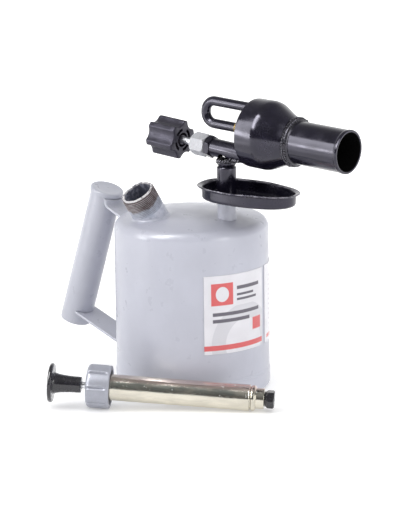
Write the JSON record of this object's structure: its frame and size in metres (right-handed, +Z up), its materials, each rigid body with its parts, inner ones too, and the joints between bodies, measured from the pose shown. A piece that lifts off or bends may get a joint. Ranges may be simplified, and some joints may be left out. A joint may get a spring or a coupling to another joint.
{
  "type": "petrol blowlamp",
  "caption": "Petrol blowlamp with a welded tank, tube handle, valve and burner over a priming pan; its hand pump is out of the neck and lies alongside.",
  "frame": {"origin": "middle of the tank's foot, on the ground", "axes": "+X the way the burner points, +Z up; the handle is at -X and the loose pump at -Y"},
  "size_m": [0.2593, 0.1753, 0.2137],
  "materials": {
    "tank_paint": "semi-gloss light grey enamel",
    "neck_paint": "grey enamel over rusty thread",
    "handle_paint": "semi-gloss light grey enamel",
    "label_paper": "thin printed film",
    "black_paint": "glossy black stove enamel",
    "black_steel": "blackened steel",
    "black_plastic": "moulded phenolic",
    "zinc": "pale zinc plating",
    "brass": "turned brass",
    "yellow_zinc": "bright yellow-passivated zinc plating",
    "cast_alloy": "fine cast surface",
    "fibre": "vulcanised fibre",
    "leather": "oiled leather",
    "rubber": "petrol-proof rubber",
    "gauze": "fine wire gauze"
  },
  "bodies": {
    "lamp": {"tank_shell": "tank_paint", "tank_bottom": "tank_paint", "pump_neck": "neck_paint", "riser_socket": "tank_paint", "fuel_pickup_tube": "zinc", "pickup_strainer": "gauze", "front_label": "label_paper", "side_label": "label_paper", "handle_tube": "handle_paint", "handle_cap": "handle_paint", "handle_upper_strap": "handle_paint", "handle_lower_strap": "handle_paint", "priming_pan": "black_paint", "riser_tube": "black_paint", "riser_collar_nut": "black_paint", "flame_bell": "black_paint", "flame_tube": "black_paint", "bell_weld_bead": "black_steel", "valve_body": "black_paint", "gland_nut": "zinc", "gland_packing": "fibre", "vaporiser_tube": "black_paint", "jet_holder": "brass", "jet_nipple": "brass"},
    "spindle": {"valve_spindle": "zinc"},
    "knob": {"control_knob": "black_plastic"},
    "pump": {"pump_barrel": "yellow_zinc", "neck_gasket": "fibre", "rod_guide": "zinc", "check_valve_body": "yellow_zinc", "check_valve_spring": "zinc", "outlet_cap": "black_steel"},
    "ring_nut": {"pump_ring_nut": "cast_alloy"},
    "plunger": {"plunger_rod": "zinc", "plunger_knob": "black_plastic", "rear_piston_washer": "zinc", "cup_leather": "leather", "front_piston_washer": "zinc", "piston_nut": "zinc"},
    "check_disc": {"check_valve_disc": "rubber"}
  },
  "joints": [
    {"name": "spindle_slide", "type": "slide", "parent": "lamp", "child": "spindle", "axis": [-0.9971, 0, 0.0767], "range_m": [0, 0.002]},
    {"name": "knob_turn", "type": "hinge", "parent": "spindle", "child": "knob", "pos_m": [0.00408, 0, 0.17716], "axis": [-0.9971, 0, 0.0767], "range_deg": [0, 720]},
    {"name": "pump_lift", "type": "slide", "parent": "lamp", "child": "pump", "axis": [0, 0, 1], "range_m": [0, 0.1]},
    {"name": "ring_nut_turn", "type": "hinge", "parent": "pump", "child": "ring_nut", "pos_m": [-0.00622, -0.08578, 0.01512], "axis": [0.8511, 0.5216, -0.06], "continuous": true},
    {"name": "plunger_slide", "type": "slide", "parent": "pump", "child": "plunger", "axis": [-0.8511, -0.5216, 0.06], "range_m": [0, 0.078]},
    {"name": "check_disc_slide", "type": "slide", "parent": "pump", "child": "check_disc", "axis": [0.8511, 0.5216, -0.06], "range_m": [0, 0.001], "stiffness_N_per_m": 60, "springref_m": -0.002, "deforming": ["check_valve_spring"]}
  ],
  "couplings": [
    {"joint": "knob_turn", "follows": "spindle_slide", "rad_per_m": 6283.2}
  ]
}
